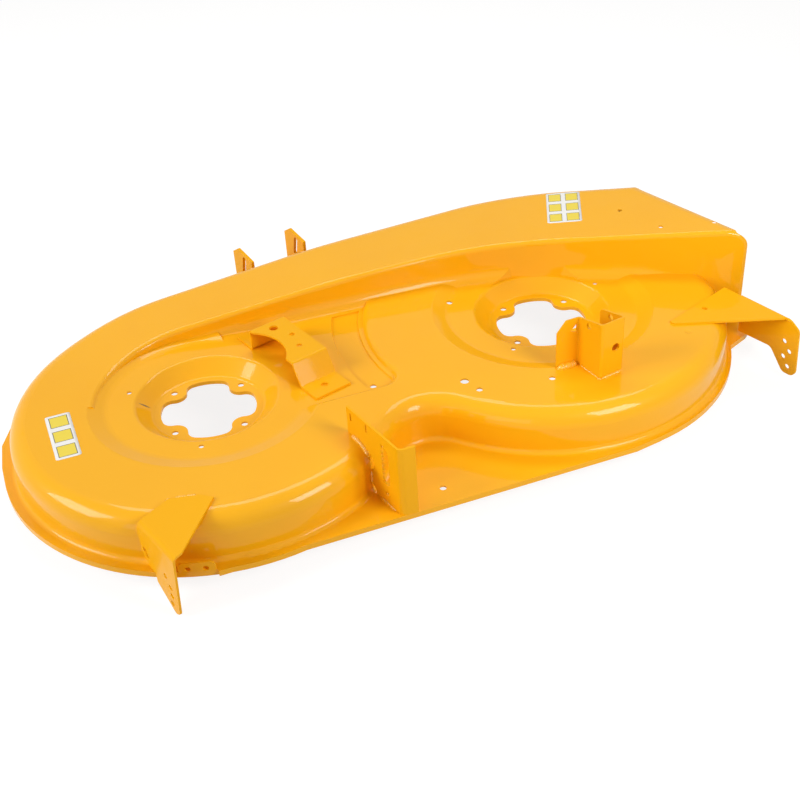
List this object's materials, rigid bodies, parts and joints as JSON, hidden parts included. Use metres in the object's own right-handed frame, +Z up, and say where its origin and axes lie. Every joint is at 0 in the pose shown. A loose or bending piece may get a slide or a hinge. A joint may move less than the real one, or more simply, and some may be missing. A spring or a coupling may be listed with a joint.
{
  "type": "lawn mower deck",
  "caption": "Pressed steel side-discharge mower deck with dished spindle seats, a rising discharge tunnel along its front and welded mounting brackets.",
  "frame": {"origin": "left spindle axis where it meets the top face of the left spindle seat", "axes": "+X from the left spindle to the right spindle, +Y towards the front of the machine, +Z up"},
  "size_m": [1.104, 0.6824, 0.183],
  "materials": {
    "deck_paint": "gloss"
  },
  "bodies": {
    "root": {"deck_shell": "deck_paint", "left_wheel_bracket": "deck_paint", "right_wheel_bracket": "deck_paint", "bridge_bracket": "deck_paint", "idler_bracket": "deck_paint", "front_bracket": "deck_paint", "centre_gusset": "deck_paint", "rear_tab": "deck_paint"}
  },
  "joints": []
}
